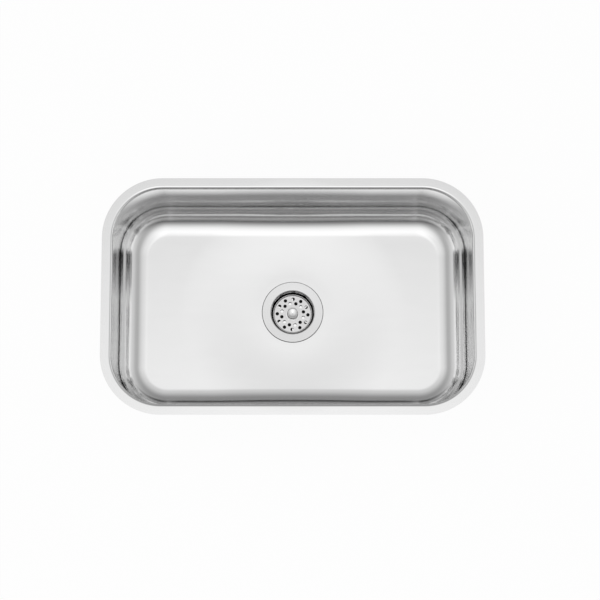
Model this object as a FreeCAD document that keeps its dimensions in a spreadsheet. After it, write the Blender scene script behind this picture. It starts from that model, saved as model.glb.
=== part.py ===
"""Single-bowl undermount kitchen sink with its basket strainer, as separate pieces.

Millimetres, +Z up, X along the length, Y from front to back. The origin is the centre of the
opening in the top plane of the flange, the face that meets the underside of the worktop.
Every size below is a cell of the sheet "Sizes"; the sketches and features are bound to it.
"""
import FreeCAD, Part
import math
import os
import re

import Sketcher

SIZES = {
    # bowl
    "opening_length": 552.8,       # wall to wall at the lip
    "opening_depth": 332.6,
    "corner_radius": 76.0,         # vertical corners at the lip
    "flange_width": 17.1,          # from the wall to the outer edge
    "lip_radius": 5.0,
    "bowl_depth": 170.0,
    "floor_round": 42.0,           # round between wall and floor
    "bowl_gauge": 1.0,             # sheet thickness
    # seat of the strainer in the floor
    "seat_drop": 1.5,
    "seat_ramp": 1.0,
    "seat_lap": 6.0,               # flat ring of floor that the seat is drawn with
    "seat_gap": 0.4,               # round the strainer flange
    "hole_gap": 1.0,               # round the cup
    # strainer cup
    "cup_flange_radius": 48.8,
    "cup_flange_thick": 1.6,
    "cup_edge_round": 0.7,
    "cup_mouth_round": 2.4,
    "cup_outer_radius": 37.6,
    "cup_mouth_radius": 35.8,      # bore above the step
    "cup_bore_radius": 34.4,       # bore below the step
    "cup_step_depth": 12.0,        # step below the flange top
    "cup_step_height": 1.4,
    "cup_wall": 2.0,
    "throat_radius": 25.0,
    "throat_height": 8.2,
    "outlet_radius": 19.0,
    "spud_radius": 23.0,
    "spud_length": 16.0,
    # clamping rings
    "seal_thick": 1.5,
    "seal_inset": 2.0,             # from the flange edge
    "ring_play": 0.4,              # gaskets round the cup
    "gasket_thick": 3.0,
    "gasket_radius": 47.0,
    "friction_thick": 1.0,
    "locknut_height": 11.0,
    "locknut_radius": 46.0,
    "locknut_lug_reach": 7.0,
    "locknut_lug_width": 9.0,
    "rib_root": 1.5,               # how far a rib or arm reaches into the ring behind it
    "thread_play": 0.05,
    # cross bars and socket
    "bars_thick": 1.5,
    "bars_play": 0.1,
    "bars_hole_radius": 5.2,
    "bars_hole_ring": 15.5,
    "socket_radius": 5.5,
    "socket_flange_radius": 7.5,
    "socket_flange_thick": 1.0,
    "socket_length": 8.0,
    # basket
    "plate_depth": 23.6,           # top of the plate below the flange top
    "plate_radius": 31.8,
    "dish_gauge": 0.9,
    "dish_rim_height": 5.0,
    "dish_round": 2.6,
    "hole_diameter": 5.5,
    "outer_hole_ring": 25.0,
    "inner_hole_ring": 18.1,
    "outer_hole_angle": -2.0,      # degrees from +X
    "inner_hole_angle": 13.0,
    "spider_drop": 4.0,            # between dish and spider
    "spider_thick": 1.0,
    "spider_hub_radius": 11.0,
    "spider_reach": 28.5,
    "spider_root_width": 7.4,
    "spider_tip_width": 10.4,
    "spider_arm_angle": 40.0,      # degrees from +X
    "stopper_radius": 33.4,
    "stopper_thick": 3.5,
    "stopper_lift": 0.3,           # over the seat in the cup
    "washer_radius": 12.0,
    "washer_thick": 1.0,
    "nut_flats": 9.0,
    "nut_height": 3.0,
    "post_radius": 3.0,
    "post_collar_radius": 5.0,
    "post_tip_clearance": 1.2,     # past the end of the socket
    "post_knob_reach": 7.0,
    "groove_depth": 0.8,
    "clip_height": 1.2,
    "clip_gap_width": 1.6,
    "socket_play": 0.3,            # socket bore round the clip
    "fit_play": 0.02,              # bores on the post
    "collar_radius": 11.2,
    "collar_thick": 1.0,
    "collar_edge": 0.4,
    "knob_radius": 9.5,
    "knob_neck_radius": 6.5,
    "knob_neck_height": 2.0,
    "knob_height": 9.0,
    "knob_edge_round": 0.8,
    "knob_dome_rise": 4.2,
    "knob_crown": 1.5,             # round between the side and the dome
    # outlet
    "tail_radius": 19.05,
    "tail_wall": 1.2,
    "tail_flange_radius": 22.4,
    "tail_flange_thick": 1.2,
    "tail_neck_rise": 0.25,        # the tube is this much wider inside the nut
    "tail_neck_length": 4.0,       # below the flange
    "tail_length": 66.0,           # free tube for the trap's nut
    "tail_washer_thick": 2.0,
    "slip_nut_wall": 3.5,
    "slip_nut_overlap": 11.0,      # thread engaged on the spud
    "slip_nut_floor": 3.0,
    "slip_nut_play": 0.4,
    "slip_rib_reach": 2.5,
    "slip_rib_width": 6.0,
    # sound-deadening pads
    "pad_thick": 2.5,
    "pad_top_gap": 22.0,           # below the flange
    "pad_bottom_gap": 6.0,         # above the floor round
    "end_pad_length": 150.0,
    "side_pad_length": 360.0,
    "floor_pad_length": 110.0,
    "floor_pad_depth": 190.0,
    "floor_pad_gap": 30.0,         # from the strainer seat
}

LUGS = 6                           # on the locknut
SLIP_RIBS = 8                      # on the slip nut
BAR_OPENINGS = 6                   # in the cross bars
SPIDER_ARMS = 6
HOLES_IN_RING = 12                 # in each of the two rings of the dish
SAME_PLACE = 1e-3                  # mm within which an edge counts as lying at a place

# Levels and widths that several pieces share, worked out from the sizes above.
DERIVED = {
    "wall_x": "opening_length / 2",
    "wall_y": "opening_depth / 2",
    "floor_top": "-bowl_depth",
    "round_top": "floor_top + floor_round",
    "floor_bottom": "floor_top - bowl_gauge",
    "seat_top": "floor_top - seat_drop",
    "seat_bottom": "seat_top - bowl_gauge",
    "seat_radius": "cup_flange_radius + seat_gap",
    "sink_hole_radius": "cup_outer_radius + hole_gap",
    "flange_underside": "seat_top + seal_thick",
    "flange_top": "flange_underside + cup_flange_thick",
    "ring_bore": "cup_outer_radius + ring_play",
    "gasket_bottom": "seat_bottom - gasket_thick",
    "friction_bottom": "gasket_bottom - friction_thick",
    "locknut_bottom": "friction_bottom - locknut_height",
    "plate_top": "flange_top - plate_depth",
    "plate_bottom": "plate_top - dish_gauge",
    "spider_top": "plate_bottom - spider_drop",
    "stopper_top": "spider_top - spider_thick",
    "stopper_bottom": "stopper_top - stopper_thick",
    "washer_bottom": "stopper_bottom - washer_thick",
    "nut_bottom": "washer_bottom - nut_height",
    "stopper_seat": "stopper_bottom - stopper_lift",
    "throat_floor": "stopper_seat - throat_height",
    "bars_top": "throat_floor + bars_thick",
    "cup_bottom": "throat_floor - cup_wall",
    "spud_bottom": "throat_floor - spud_length",
    "socket_top": "bars_top + socket_flange_thick",
    "socket_bottom": "socket_top - socket_length",
    "socket_bore": "post_radius + socket_play",
    "post_bottom": "socket_bottom - post_tip_clearance",
    "post_bore": "post_radius + fit_play",
    "collar_top": "plate_top + collar_thick",
    "post_top": "collar_top + post_knob_reach",
    "knob_top": "collar_top + knob_height",
    "knob_side_top": "knob_top - knob_dome_rise",
    "clip_top": "socket_bottom + socket_length / 2",
    "tail_washer_bottom": "spud_bottom - tail_washer_thick",
    "tail_flange_bottom": "tail_washer_bottom - tail_flange_thick",
    "tail_neck_radius": "tail_radius + tail_neck_rise",
    "tail_neck_bottom": "tail_flange_bottom - tail_neck_length",
    "tail_bottom": "tail_neck_bottom - tail_length",
    "slip_nut_bore": "spud_radius + thread_play",
    "slip_nut_radius": "slip_nut_bore + slip_nut_wall",
    "slip_nut_top": "spud_bottom + slip_nut_overlap",
    "slip_nut_bottom": "tail_flange_bottom - slip_nut_floor",
    "pad_top": "-pad_top_gap",
    "pad_bottom": "round_top + pad_bottom_gap",
}

document = FreeCAD.newDocument("undermount_sink")
sheet = document.addObject("Spreadsheet::Sheet", "Sizes")


def fill_sheet():
    """Write the sizes as plain numbers and the derived levels as formulas, one alias a row."""
    rows = {name: str(number) for name, number in SIZES.items()}
    rows.update({name: "=" + formula for name, formula in DERIVED.items()})
    for row, (name, content) in enumerate(rows.items(), start=1):
        sheet.set(f"A{row}", name)
        sheet.set(f"B{row}", content)
        sheet.setAlias(f"B{row}", name)
    document.recompute()


fill_sheet()


def value(formula):
    """Number that a formula in the sheet's names stands for."""
    number = sheet.evalExpression(formula)
    return getattr(number, "Value", number)


def bound(formula):
    """The same formula for use outside the sheet: each alias gets the sheet's name."""
    def qualify(word):
        name = word.group()
        return f"Sizes.{name}" if name in SIZES or name in DERIVED else name
    return re.sub(r"[a-z_]+", qualify, formula)


# ---------------------------------------------------------------- sketch and feature helpers

def new_body(label):
    """Empty PartDesign body that carries the piece's name."""
    body = document.addObject("PartDesign::Body", label)
    body.Label = label
    return body


def origin_plane(body, role):
    """One of the body's own origin planes or axes, by its role."""
    return next(item for item in body.Origin.OriginFeatures if item.Role == role)


def new_sketch(body, name, role):
    """Sketch on one of the body's origin planes."""
    sketch = body.newObject("Sketcher::SketchObject", f"{body.Label}_{name}")
    sketch.AttachmentSupport = [(origin_plane(body, role), "")]
    sketch.MapMode = "FlatFace"
    return sketch


def constrain(sketch, kind, *places, formula=None):
    """Add one constraint and, for a dimension, bind it to its formula."""
    if formula is None:
        sketch.addConstraint(Sketcher.Constraint(kind, *places))
        return
    index = sketch.addConstraint(Sketcher.Constraint(kind, *places, value(formula)))
    sketch.setExpression(f"Constraints[{index}]", bound(formula))


def pin(sketch, edge, end, x_formula, y_formula):
    """Fix one end of an edge at a place given by two formulas."""
    constrain(sketch, "DistanceX", edge, end, formula=x_formula)
    constrain(sketch, "DistanceY", edge, end, formula=y_formula)


def dome_arc(start, end):
    """Arc from one place up to another on the axis, with its centre on the axis."""
    rise = end.y - start.y
    radius = (start.x ** 2 + rise ** 2) / (2 * rise)
    circle_round_axis = Part.Circle(
        FreeCAD.Vector(0, end.y - radius, 0), FreeCAD.Vector(0, 0, 1), radius)
    turn = math.atan2(start.y - end.y + radius, start.x)
    return Part.ArcOfCircle(circle_round_axis, turn, math.pi / 2)


def polygon(sketch, corners, dome=None):
    """Closed outline; each corner is a pair of formulas. The side numbered dome is an arc."""
    places = [FreeCAD.Vector(value(x), value(y), 0) for x, y in corners]
    count = len(places)
    first = sketch.GeometryCount
    for index in range(count):
        side = dome_arc if index == dome else Part.LineSegment
        sketch.addGeometry(side(places[index], places[(index + 1) % count]))
    for index in range(count):
        constrain(sketch, "Coincident", first + index, 2, first + (index + 1) % count, 1)
    for index, (x_formula, y_formula) in enumerate(corners):
        pin(sketch, first + index, 1, x_formula, y_formula)
    if dome is not None:
        constrain(sketch, "DistanceX", first + dome, 3, formula="0")


def circle(sketch, radius, x_formula="0", y_formula="0"):
    """Circle with its centre and radius bound to formulas."""
    centre = FreeCAD.Vector(value(x_formula), value(y_formula), 0)
    up = FreeCAD.Vector(0, 0, 1)
    edge = sketch.addGeometry(Part.Circle(centre, up, value(radius)))
    pin(sketch, edge, 3, x_formula, y_formula)
    constrain(sketch, "Radius", edge, formula=radius)


def rounded_rectangle(sketch, half_x, half_y, radius):
    """Closed outline of four sides and four tangent arcs, starting half way up the +X side."""
    x, y, r = value(half_x), value(half_y), value(radius)
    up = FreeCAD.Vector(0, 0, 1)
    signs = ((1, 1), (-1, 1), (-1, -1), (1, -1))
    straights = (
        ((x, 0), (x, y - r)),
        ((x - r, y), (r - x, y)),
        ((-x, y - r), (-x, r - y)),
        ((r - x, -y), (x - r, -y)),
    )
    edges = []
    for quarter, (side, (sx, sy)) in enumerate(zip(straights, signs)):
        ends = [FreeCAD.Vector(px, py, 0) for px, py in side]
        edges.append(sketch.addGeometry(Part.LineSegment(*ends)))
        centre = Part.Circle(FreeCAD.Vector(sx * (x - r), sy * (y - r), 0), up, r)
        turn = math.radians(90 * quarter)
        edges.append(sketch.addGeometry(Part.ArcOfCircle(centre, turn, turn + math.pi / 2)))
    last = Part.LineSegment(FreeCAD.Vector(x, r - y, 0), FreeCAD.Vector(x, 0, 0))
    edges.append(sketch.addGeometry(last))
    for edge, following in zip(edges, edges[1:]):
        constrain(sketch, "Tangent", edge, 2, following, 1)
    constrain(sketch, "Coincident", edges[-1], 2, edges[0], 1)
    pin(sketch, edges[0], 1, half_x, "0")
    constrain(sketch, "Vertical", edges[0])
    constrain(sketch, "Vertical", edges[-1])
    for arc, (sx, sy) in zip(edges[1::2], signs):
        constrain(sketch, "Radius", arc, formula=radius)
        constrain(sketch, "DistanceY", arc, 3, formula=f"{sy} * ( {half_y} - ( {radius} ) )")
    for arc in (edges[3], edges[5]):
        constrain(sketch, "DistanceX", arc, 3, formula=f"-1 * ( {half_x} - ( {radius} ) )")


def feature(body, kind, name, profile, **settings):
    """Feature of a body made from a profile; text settings are formulas of its properties."""
    item = body.newObject(f"PartDesign::{kind}", f"{body.Label}_{name}")
    item.Profile = profile
    for key, setting in settings.items():
        if isinstance(setting, str):
            item.setExpression(key, bound(setting))
        else:
            setattr(item, key, setting)
    profile.Visibility = False
    return item


def turned(body, name, corners, dome=None):
    """Ring turned round Z from a half section; each corner is a radius and a height."""
    sketch = new_sketch(body, f"{name}_section", "XZ_Plane")
    polygon(sketch, corners, dome)
    axis = (sketch, ["V_Axis"])
    return feature(body, "Revolution", name, sketch, ReferenceAxis=axis, Angle=360.0)


def ring_edges(shape, radius, height):
    """Names of the circular edges round Z with this radius at this height."""
    names = []
    for index, edge in enumerate(shape.Edges, start=1):
        if edge.Degenerated or not isinstance(edge.Curve, Part.Circle):
            continue
        curve = edge.Curve
        centre = curve.Center
        off_axis = math.hypot(centre.x, centre.y, curve.Axis.x, curve.Axis.y)
        wrong = abs(curve.Radius - radius) + abs(centre.z - height) + off_axis
        if wrong < SAME_PLACE:
            names.append(f"Edge{index}")
    return names


def softened(body, kind, name, radius, height, size):
    """Fillet or chamfer on the ring edge at a radius and a height, all given as formulas."""
    document.recompute()
    base = body.Tip
    edges = ring_edges(base.Shape, value(radius), value(height))
    item = body.newObject(f"PartDesign::{kind}", f"{body.Label}_{name}")
    item.Base = (base, edges)
    item.setExpression("Radius" if kind == "Fillet" else "Size", bound(size))
    return item


def repeated(body, name, original, count):
    """Polar pattern of one feature round Z."""
    pattern = body.newObject("PartDesign::PolarPattern", f"{body.Label}_{name}")
    pattern.Originals = [original]
    pattern.Axis = (origin_plane(body, "Z_Axis"), [""])
    pattern.Angle = 360.0
    pattern.Occurrences = count
    body.Tip = pattern
    return pattern


def flat_cut(body, name, sketch, top, bottom):
    """Pocket between two heights, from a sketch in the horizontal plane."""
    sketch.AttachmentOffset = FreeCAD.Placement()
    sketch.setExpression("AttachmentOffset.Base.z", bound(top))
    return feature(body, "Pocket", name, sketch, Length=f"{top} - ( {bottom} )")


def flat_pad(body, name, sketch, top, bottom):
    """Pad between two heights, from a sketch in the horizontal plane."""
    sketch.AttachmentOffset = FreeCAD.Placement()
    sketch.setExpression("AttachmentOffset.Base.z", bound(bottom))
    return feature(body, "Pad", name, sketch, Length=f"{top} - ( {bottom} )")


# ---------------------------------------------------------------- bowl

def level_edges(shape, height, half_x, half_y):
    """Names of the edges that lie at one height inside a rectangle round the origin."""
    names = []
    for index, edge in enumerate(shape.Edges, start=1):
        box = edge.BoundBox
        off_level = abs(box.ZMin - height) + abs(box.ZMax - height)
        over_x = max(abs(box.XMin), abs(box.XMax)) - half_x
        over_y = max(abs(box.YMin), abs(box.YMax)) - half_y
        if max(off_level, over_x, over_y) < SAME_PLACE:
            names.append(f"Edge{index}")
    return names


def rounded_rim(body, name, height, half_x, half_y, radius):
    """Fillet along the outline that lies at one height within the given half sizes."""
    document.recompute()
    base = body.Tip
    edges = level_edges(base.Shape, value(height), value(half_x), value(half_y))
    fillet = body.newObject("PartDesign::Fillet", f"{body.Label}_{name}")
    fillet.Base = (base, edges)
    fillet.setExpression("Radius", bound(radius))
    return fillet


def bowl_outline(body, name, offset):
    """Rounded rectangle at the given offset from the wall, in the flange plane."""
    sketch = new_sketch(body, f"{name}_outline", "XY_Plane")
    rounded_rectangle(sketch, f"wall_x + {offset}", f"wall_y + {offset}",
                      f"corner_radius + {offset}")
    return sketch


def build_bowl():
    """Pressed sheet: flange, lip, walls, floor round and floor, with the strainer's seat."""
    body = new_body("sink_bowl")
    skin_x, skin_y = "wall_x + bowl_gauge", "wall_y + bowl_gauge"
    flat_pad(body, "block", bowl_outline(body, "block", "bowl_gauge"), "0", "floor_bottom")
    flat_pad(body, "flange", bowl_outline(body, "flange", "flange_width"), "0", "-1 * bowl_gauge")
    rounded_rim(body, "lip_underside", "-1 * bowl_gauge", skin_x, skin_y,
                "lip_radius - bowl_gauge")
    flat_cut(body, "hollow", bowl_outline(body, "hollow", "0"), "0", "floor_top")
    rounded_rim(body, "inner_round", "floor_top", "wall_x", "wall_y", "floor_round")
    rounded_rim(body, "outer_round", "floor_bottom", skin_x, skin_y, "floor_round + bowl_gauge")
    rounded_rim(body, "lip", "0", "wall_x", "wall_y", "lip_radius")

    ramp_end = "seat_radius + seat_ramp"
    lap_end = "seat_radius + seat_ramp + seat_lap"
    opening = new_sketch(body, "floor_opening", "XY_Plane")
    circle(opening, "seat_radius + seat_ramp + seat_lap / 2")
    flat_cut(body, "floor_cut", opening, "floor_top", "floor_bottom")
    turned(body, "seat", [
        ("sink_hole_radius", "seat_top"),
        ("seat_radius", "seat_top"),
        (ramp_end, "floor_top"),
        (lap_end, "floor_top"),
        (lap_end, "floor_bottom"),
        (ramp_end, "floor_bottom"),
        ("seat_radius", "seat_bottom"),
        ("sink_hole_radius", "seat_bottom"),
    ])
    return body


def wall_pad(label, side, wall, plane, length):
    """Flat pad glued to the outside of one wall; side is +1 or -1 along its normal."""
    body = new_body(label)
    sketch = new_sketch(body, "section", plane)
    near = f"{side} * ( {wall} + bowl_gauge )"
    far = f"{side} * ( {wall} + bowl_gauge + pad_thick )"
    polygon(sketch, [(near, "pad_top"), (far, "pad_top"), (far, "pad_bottom"),
                     (near, "pad_bottom")])
    pad = feature(body, "Pad", "sheet", sketch, Length=length)
    pad.SideType = "Symmetric"
    return body


def floor_pad(label, side):
    """Flat pad glued under the floor beside the strainer."""
    body = new_body(label)
    sketch = new_sketch(body, "outline", "XY_Plane")
    near = f"{side} * ( seat_radius + seat_ramp + floor_pad_gap )"
    far = f"{side} * ( seat_radius + seat_ramp + floor_pad_gap + floor_pad_length )"
    half = "floor_pad_depth / 2"
    polygon(sketch, [(near, f"-1 * {half}"), (far, f"-1 * {half}"), (far, half), (near, half)])
    flat_pad(body, "sheet", sketch, "floor_bottom", "floor_bottom - pad_thick")
    return body


# ---------------------------------------------------------------- strainer

def plain_ring(label, inner, outer, top, bottom):
    """Flat ring between two heights."""
    body = new_body(label)
    turned(body, "ring", [(inner, top), (outer, top), (outer, bottom), (inner, bottom)])
    return body


def build_cup():
    """Flanged cup with a stepped bore, a flat seat for the stopper and a threaded outlet."""
    body = new_body("strainer_cup")
    step_top = "flange_top - cup_step_depth"
    shoulder = "stopper_seat - cup_wall"
    turned(body, "shell", [
        ("cup_mouth_radius", "flange_top"),
        ("cup_flange_radius", "flange_top"),
        ("cup_flange_radius", "flange_underside"),
        ("cup_outer_radius", "flange_underside"),
        ("cup_outer_radius", shoulder),
        ("throat_radius + cup_wall", shoulder),
        ("throat_radius + cup_wall", "cup_bottom"),
        ("spud_radius", "cup_bottom"),
        ("spud_radius", "spud_bottom"),
        ("outlet_radius", "spud_bottom"),
        ("outlet_radius", "throat_floor"),
        ("throat_radius", "throat_floor"),
        ("throat_radius", "stopper_seat"),
        ("cup_bore_radius", "stopper_seat"),
        ("cup_bore_radius", f"{step_top} - cup_step_height"),
        ("cup_mouth_radius", step_top),
    ])
    softened(body, "Fillet", "mouth_round", "cup_mouth_radius", "flange_top", "cup_mouth_round")
    softened(body, "Fillet", "edge_round", "cup_flange_radius", "flange_top", "cup_edge_round")
    return body


def outer_ribs(body, radius, reach, width, top, bottom, count):
    """Ribs that stand out from a round nut, one padded and the others repeated from it."""
    sketch = new_sketch(body, "rib_outline", "XY_Plane")
    root = f"{radius} - rib_root"
    tip = f"{radius} + {reach}"
    half = f"{width} / 2"
    polygon(sketch, [(root, f"-1 * {half}"), (tip, f"-1 * {half}"), (tip, half), (root, half)])
    rib = flat_pad(body, "rib", sketch, top, bottom)
    repeated(body, "ribs", rib, count)


def build_locknut():
    """Ring nut with six lugs that clamps the cup to the bowl."""
    body = plain_ring("locknut", "cup_outer_radius + thread_play", "locknut_radius",
                      "friction_bottom", "locknut_bottom")
    outer_ribs(body, "locknut_radius", "locknut_lug_reach", "locknut_lug_width",
               "friction_bottom", "locknut_bottom", LUGS)
    return body


def build_cross_bars():
    """Plate at the bottom of the cup with six round openings and a hole for the socket."""
    body = plain_ring("cross_bars", "socket_radius + fit_play", "throat_radius - bars_play",
                      "bars_top", "throat_floor")
    sketch = new_sketch(body, "opening", "XY_Plane")
    circle(sketch, "bars_hole_radius", "bars_hole_ring")
    opening = flat_cut(body, "opening_cut", sketch, "bars_top", "throat_floor")
    repeated(body, "openings", opening, BAR_OPENINGS)
    return body


def build_centre_socket():
    """Flanged bush in the cross bars that holds the post."""
    body = new_body("centre_socket")
    turned(body, "bush", [
        ("socket_bore", "socket_top"),
        ("socket_flange_radius", "socket_top"),
        ("socket_flange_radius", "bars_top"),
        ("socket_radius", "bars_top"),
        ("socket_radius", "socket_bottom"),
        ("socket_bore", "socket_bottom"),
    ])
    return body


def build_tailpiece():
    """Outlet tube with a flange at its top."""
    body = new_body("tailpiece")
    turned(body, "tube", [
        ("tail_radius - tail_wall", "tail_washer_bottom"),
        ("tail_flange_radius", "tail_washer_bottom"),
        ("tail_flange_radius", "tail_flange_bottom"),
        ("tail_neck_radius", "tail_flange_bottom"),
        ("tail_neck_radius", "tail_neck_bottom"),
        ("tail_radius", "tail_neck_bottom"),
        ("tail_radius", "tail_bottom"),
        ("tail_radius - tail_wall", "tail_bottom"),
    ])
    return body


def build_slip_nut():
    """Ribbed coupling nut that pulls the tailpiece flange against the outlet."""
    body = new_body("slip_nut")
    turned(body, "shell", [
        ("slip_nut_bore", "slip_nut_top"),
        ("slip_nut_radius", "slip_nut_top"),
        ("slip_nut_radius", "slip_nut_bottom"),
        ("tail_neck_radius + slip_nut_play", "slip_nut_bottom"),
        ("tail_neck_radius + slip_nut_play", "tail_flange_bottom"),
        ("slip_nut_bore", "tail_flange_bottom"),
    ])
    outer_ribs(body, "slip_nut_radius", "slip_rib_reach", "slip_rib_width",
               "slip_nut_top", "slip_nut_bottom", SLIP_RIBS)
    return body


# ---------------------------------------------------------------- basket

def hole_ring(body, name, ring, angle):
    """Ring of round holes through the plate of the dish."""
    sketch = new_sketch(body, f"{name}_hole", "XY_Plane")
    circle(sketch, "hole_diameter / 2",
           f"{ring} * cos( {angle} * 1 deg )", f"{ring} * sin( {angle} * 1 deg )")
    hole = flat_cut(body, f"{name}_cut", sketch, "plate_top", "plate_bottom")
    repeated(body, f"{name}_holes", hole, HOLES_IN_RING)


def build_dish():
    """Perforated plate with an upturned rim and two staggered rings of holes."""
    body = new_body("basket_dish")
    rim_top = "plate_top + dish_rim_height"
    inside = "plate_radius - dish_gauge"
    turned(body, "pressing", [
        ("post_bore", "plate_bottom"),
        ("plate_radius", "plate_bottom"),
        ("plate_radius", rim_top),
        (inside, rim_top),
        (inside, "plate_top"),
        ("post_bore", "plate_top"),
    ])
    softened(body, "Fillet", "outer_round", "plate_radius", "plate_bottom", "dish_round")
    softened(body, "Fillet", "inner_round", inside, "plate_top", "dish_round - dish_gauge")
    hole_ring(body, "outer", "outer_hole_ring", "outer_hole_angle")
    hole_ring(body, "inner", "inner_hole_ring", "inner_hole_angle")
    return body


def build_spider():
    """Clamp plate with a round hub and six widening arms."""
    body = plain_ring("basket_spider", "post_bore", "spider_hub_radius",
                      "spider_top", "stopper_top")
    sketch = new_sketch(body, "arm_outline", "XY_Plane")
    root = "spider_hub_radius - rib_root"
    polygon(sketch, [
        (root, "-1 * spider_root_width / 2"),
        ("spider_reach", "-1 * spider_tip_width / 2"),
        ("spider_reach", "spider_tip_width / 2"),
        (root, "spider_root_width / 2"),
    ])
    arm = flat_pad(body, "arm", sketch, "spider_top", "stopper_top")
    repeated(body, "arms", arm, SPIDER_ARMS)
    body.setExpression("Placement.Rotation.Angle", bound("spider_arm_angle * 1 deg"))
    return body


def build_post():
    """Stem with a collar between dish and spider and a groove for the spring clip."""
    body = new_body("post")
    groove = "post_radius - groove_depth"
    turned(body, "stem", [
        ("0", "post_top"),
        ("post_radius", "post_top"),
        ("post_radius", "plate_bottom"),
        ("post_collar_radius", "plate_bottom"),
        ("post_collar_radius", "spider_top"),
        ("post_radius", "spider_top"),
        ("post_radius", "clip_top"),
        (groove, "clip_top"),
        (groove, "clip_top - clip_height"),
        ("post_radius", "clip_top - clip_height"),
        ("post_radius", "post_bottom"),
        ("0", "post_bottom"),
    ])
    return body


def build_collar():
    """Round collar between knob and dish."""
    body = plain_ring("knob_collar", "post_bore", "collar_radius", "collar_top", "plate_top")
    softened(body, "Fillet", "edge", "collar_radius", "collar_top", "collar_edge")
    return body


def build_knob():
    """Small domed knob on a short neck, bored from below for the post."""
    body = new_body("knob")
    neck_top = "collar_top + knob_neck_height"
    turned(body, "turning", [
        ("post_bore", "collar_top"),
        ("knob_neck_radius", "collar_top"),
        ("knob_neck_radius", neck_top),
        ("knob_radius", neck_top),
        ("knob_radius", "knob_side_top"),
        ("0", "knob_top"),
        ("0", "post_top"),
        ("post_bore", "post_top"),
    ], dome=4)
    softened(body, "Fillet", "crown", "knob_radius", "knob_side_top", "knob_crown")
    softened(body, "Fillet", "edge", "knob_radius", neck_top, "knob_edge_round")
    return body


def build_nut():
    """Hexagonal nut that clamps the stack on the post."""
    body = new_body("post_nut")
    sketch = new_sketch(body, "hexagon", "XY_Plane")
    corner = "nut_flats / sqrt( 3 )"
    polygon(sketch, [(f"{corner} * cos( {60 * side} deg )", f"{corner} * sin( {60 * side} deg )")
                     for side in range(6)])
    circle(sketch, "post_bore")
    flat_pad(body, "prism", sketch, "washer_bottom", "nut_bottom")
    return body


def build_clip():
    """Split ring in the groove of the post."""
    body = plain_ring("spring_clip", "post_radius - groove_depth + fit_play", "post_radius",
                      "clip_top", "clip_top - clip_height")
    sketch = new_sketch(body, "gap_outline", "XY_Plane")
    half = "clip_gap_width / 2"
    reach = "post_radius * 2"
    polygon(sketch, [("0", f"-1 * {half}"), (reach, f"-1 * {half}"), (reach, half), ("0", half)])
    flat_cut(body, "gap", sketch, "clip_top", "clip_top - clip_height")
    return body


def build_all():
    """All pieces of the sink, one body each."""
    return [
        build_bowl(),
        wall_pad("right_pad", 1, "wall_x", "XZ_Plane", "end_pad_length"),
        wall_pad("left_pad", -1, "wall_x", "XZ_Plane", "end_pad_length"),
        wall_pad("back_pad", 1, "wall_y", "YZ_Plane", "side_pad_length"),
        wall_pad("front_pad", -1, "wall_y", "YZ_Plane", "side_pad_length"),
        floor_pad("bottom_pad_right", 1),
        floor_pad("bottom_pad_left", -1),
        build_cup(),
        plain_ring("flange_seal", "ring_bore", "cup_flange_radius - seal_inset",
                   "flange_underside", "seat_top"),
        plain_ring("lower_gasket", "ring_bore", "gasket_radius", "seat_bottom", "gasket_bottom"),
        plain_ring("friction_ring", "ring_bore", "gasket_radius", "gasket_bottom",
                   "friction_bottom"),
        build_locknut(),
        build_cross_bars(),
        build_centre_socket(),
        plain_ring("tailpiece_washer", "outlet_radius", "tail_flange_radius", "spud_bottom",
                   "tail_washer_bottom"),
        build_tailpiece(),
        build_slip_nut(),
        build_dish(),
        build_collar(),
        build_knob(),
        build_post(),
        build_spider(),
        plain_ring("stopper", "post_bore", "stopper_radius", "stopper_top", "stopper_bottom"),
        plain_ring("stopper_washer", "post_bore", "washer_radius", "stopper_bottom",
                   "washer_bottom"),
        build_nut(),
        build_clip(),
    ]


def check(pieces):
    """Stop when an object failed to recompute or a piece isn't one valid solid."""
    for item in document.Objects:
        if "Invalid" in item.State or "Error" in item.State:
            raise RuntimeError(f"{item.Label}: {item.State}")
    for piece in pieces:
        shape = piece.Shape
        if shape.isNull() or not shape.isValid() or len(shape.Solids) != 1:
            raise RuntimeError(f"{piece.Label}: no single valid solid")


def export(pieces):
    """Write one STEP file for each piece."""
    os.makedirs("parts", exist_ok=True)
    for piece in pieces:
        piece.Shape.exportStep(f"parts/{piece.Label}.step")


pieces = build_all()
document.recompute()
check(pieces)
export(pieces)
for piece in pieces:
    box = piece.Shape.BoundBox
    print(f"{piece.Label:18s} {piece.Shape.Volume:10.1f} mm3  z {box.ZMin:8.2f} to {box.ZMax:8.2f}"
          f"  x {box.XMin:8.2f} to {box.XMax:8.2f}")
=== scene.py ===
"""Looks of the undermount kitchen sink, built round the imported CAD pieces.

The sizes in the classes are millimetres in the CAD frame: +Z up, X along the length, the origin in
the middle of the opening at the top of the flange. Meshes are made in metres.
"""
import logging
import math
from dataclasses import dataclass, field
from enum import Enum
from typing import Callable, Iterable, Sequence, Union

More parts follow.
